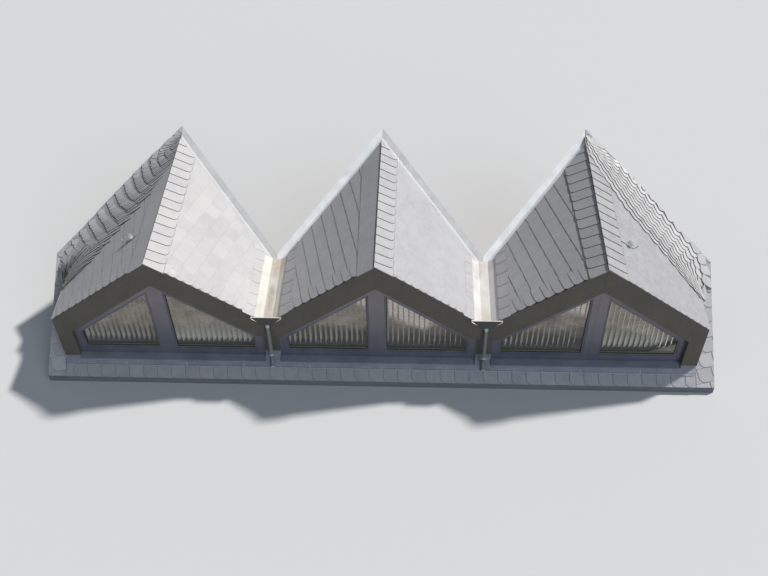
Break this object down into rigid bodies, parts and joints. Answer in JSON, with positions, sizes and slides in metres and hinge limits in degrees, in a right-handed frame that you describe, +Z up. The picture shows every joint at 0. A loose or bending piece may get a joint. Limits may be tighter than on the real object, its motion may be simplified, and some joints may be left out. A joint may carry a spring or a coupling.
{
  "type": "dormer window",
  "caption": "Wide slated roof dormer with equal gables side by side, fixed windows under each gable, zinc troughs with short downpipes between them and swept slate valleys at its ends.",
  "frame": {"origin": "middle of the front: on the rafters' top plane under the middle window, where the sole beam's inclined underside rests", "axes": "+X along the front to the right as seen from outside, the front faces -Y, +Z up; the carrying roof rises towards +Y"},
  "size_m": [9.52, 3.0637, 2.3106],
  "materials": {
    "timber": "planed softwood",
    "pier_paint": "matte",
    "cheek_cladding": "matte",
    "band_paint": "matte",
    "frame_paint": "satin",
    "bead_paint": "satin",
    "glass": "clear",
    "sill_paint": "satin",
    "roof_boards": "rough sawn",
    "slate": "natural slate, split face",
    "apron_sheet": "satin",
    "zinc": "weathered, dull",
    "pipe_zinc": "weathered, dull",
    "hook_steel": "galvanized",
    "blind_fabric": "woven slats"
  },
  "bodies": {
    "root": {"sole_beam": "timber", "corner_posts": "timber", "piers": "pier_paint", "gable_heads": "timber", "ridge_beams": "timber", "cheeks": "cheek_cladding", "left_front_panel": "band_paint", "middle_front_panel": "band_paint", "right_front_panel": "band_paint", "left_window_frame": "frame_paint", "middle_window_frame": "frame_paint", "right_window_frame": "frame_paint", "glazing_beads": "bead_paint", "left_panes": "glass", "middle_panes": "glass", "right_panes": "glass", "left_sill": "sill_paint", "middle_sill": "sill_paint", "right_sill": "sill_paint", "left_outer_deck": "roof_boards", "left_inner_deck": "roof_boards", "middle_left_deck": "roof_boards", "middle_right_deck": "roof_boards", "right_inner_deck": "roof_boards", "right_outer_deck": "roof_boards", "left_outer_slates": "slate", "left_inner_slates": "slate", "middle_left_slates": "slate", "middle_right_slates": "slate", "right_inner_slates": "slate", "right_outer_slates": "slate", "edge_boards": "roof_boards", "side_boards": "roof_boards", "side_slates": "slate", "front_slates": "slate", "front_apron": "apron_sheet", "valley_sheets": "zinc", "left_trough": "zinc", "right_trough": "zinc", "left_swept_valley": "slate", "right_swept_valley": "slate", "downpipes": "pipe_zinc", "pipe_brackets": "pipe_zinc", "roof_hooks": "hook_steel", "blinds": "blind_fabric"}
  },
  "joints": []
}
